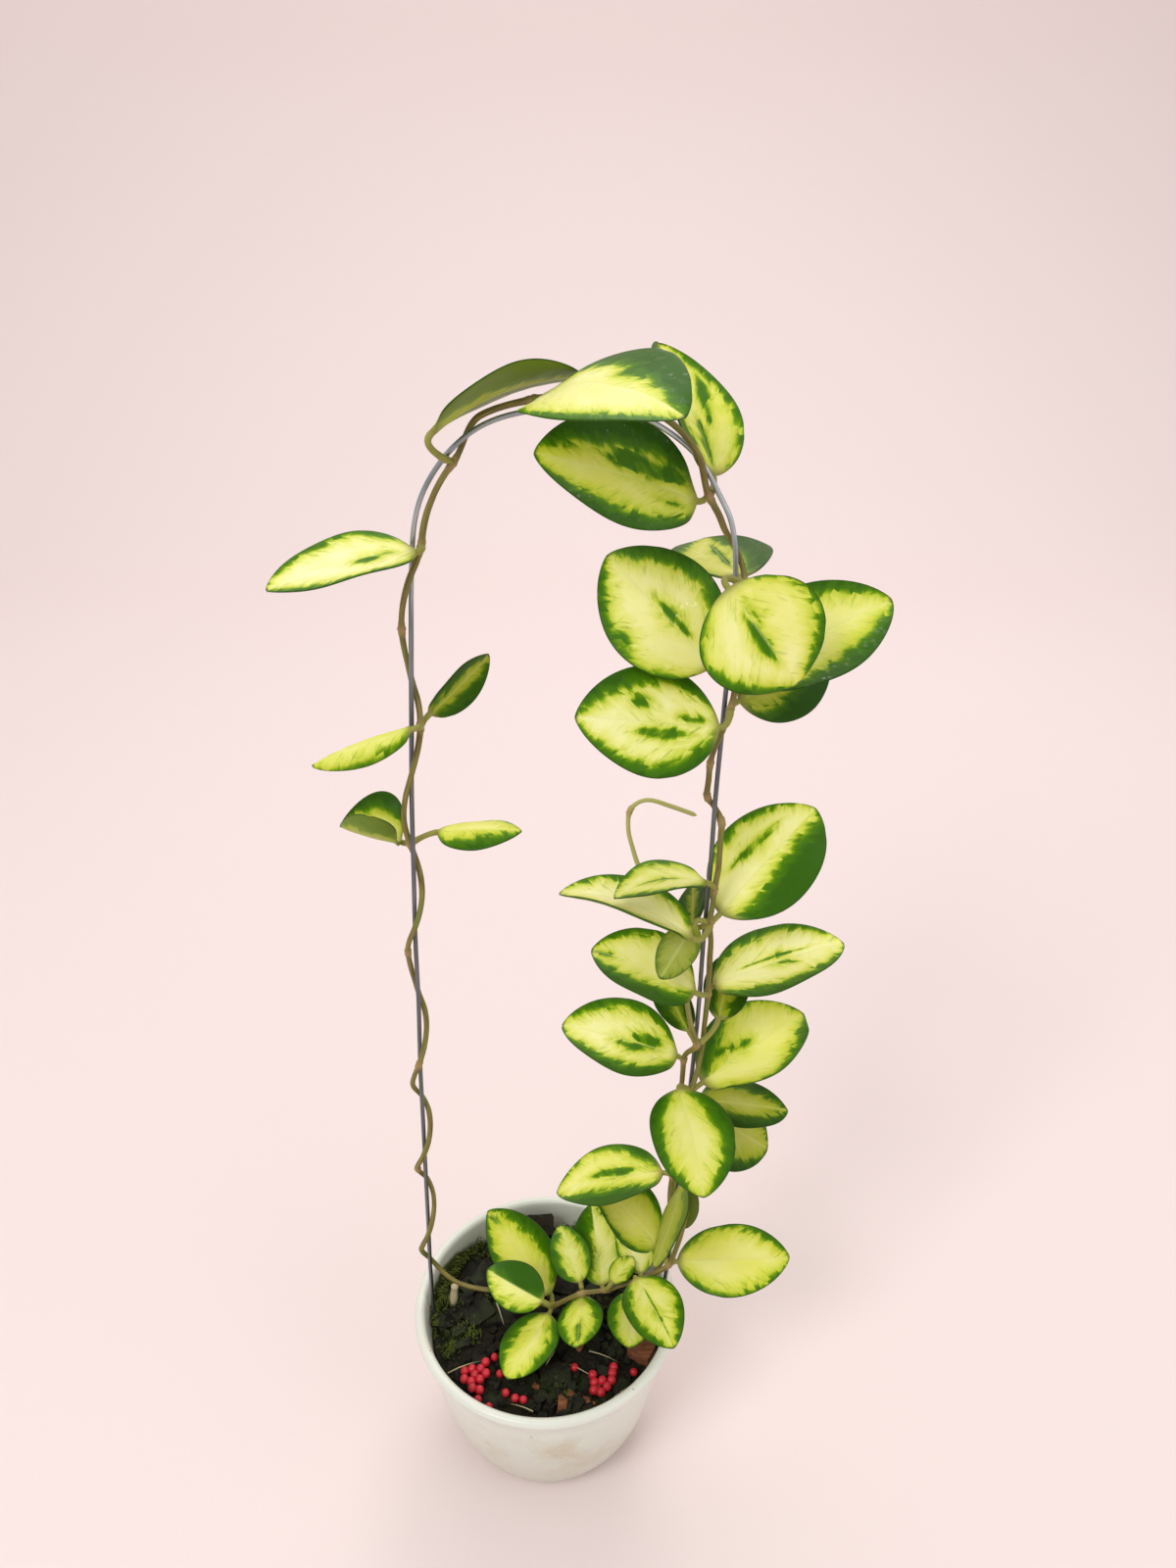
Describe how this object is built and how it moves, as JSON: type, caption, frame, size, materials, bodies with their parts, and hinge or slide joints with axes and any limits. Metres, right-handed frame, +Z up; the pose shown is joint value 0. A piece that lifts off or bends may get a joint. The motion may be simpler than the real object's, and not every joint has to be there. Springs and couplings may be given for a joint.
{
  "type": "potted hoya plant",
  "caption": "Climbing hoya with yellow and green leaves, twined round a wire hoop in a round white plastic pot.",
  "frame": {"origin": "middle of the pot's underside, on the surface that it stands on", "axes": "+Z up along the pot; the wire hoop faces -Y and +X is to the right as seen from the front"},
  "size_m": [0.1779, 0.1209, 0.4131],
  "materials": {
    "pot": "glossy white moulded plastic with faint stains",
    "soil": "damp dark bark compost",
    "wire": "drawn galvanised wire",
    "stem": "olive brown bark, finely ridged",
    "dry_stem": "dry pale cut stem",
    "husk": "coarse brown fibre",
    "pellet": "smooth coated feed pellets",
    "leaf": "waxy leaf, yellow with green margins"
  },
  "bodies": {
    "root": {"pot": "pot", "soil": "soil", "wire_hoop": "wire", "vine": "stem", "cut_stub": "dry_stem", "husk_chunk": "husk", "pellets_left": "pellet", "pellets_right": "pellet", "leaf_arch_1": "leaf", "leaf_arch_2": "leaf", "leaf_arch_3": "leaf", "leaf_arch_4": "leaf", "leaf_right_1": "leaf", "leaf_right_2": "leaf", "leaf_right_3": "leaf", "leaf_right_4": "leaf", "leaf_right_5": "leaf", "leaf_right_6": "leaf", "leaf_right_7": "leaf", "leaf_right_8": "leaf", "leaf_right_9": "leaf", "leaf_right_10": "leaf", "leaf_right_11": "leaf", "leaf_right_12": "leaf", "leaf_right_13": "leaf", "leaf_right_14": "leaf", "leaf_right_15": "leaf", "leaf_right_16": "leaf", "leaf_right_17": "leaf", "leaf_right_18": "leaf", "leaf_right_19": "leaf", "leaf_right_20": "leaf", "leaf_right_21": "leaf", "leaf_right_22": "leaf", "leaf_right_23": "leaf", "leaf_right_24": "leaf", "leaf_right_25": "leaf", "leaf_pot_1": "leaf", "leaf_pot_2": "leaf", "leaf_pot_3": "leaf", "leaf_pot_4": "leaf", "leaf_pot_5": "leaf", "leaf_pot_6": "leaf", "leaf_pot_7": "leaf", "leaf_pot_8": "leaf", "leaf_pot_9": "leaf", "leaf_pot_10": "leaf", "leaf_left_1": "leaf", "leaf_left_2": "leaf", "leaf_left_3": "leaf", "leaf_left_4": "leaf", "leaf_left_5": "leaf"}
  },
  "joints": []
}
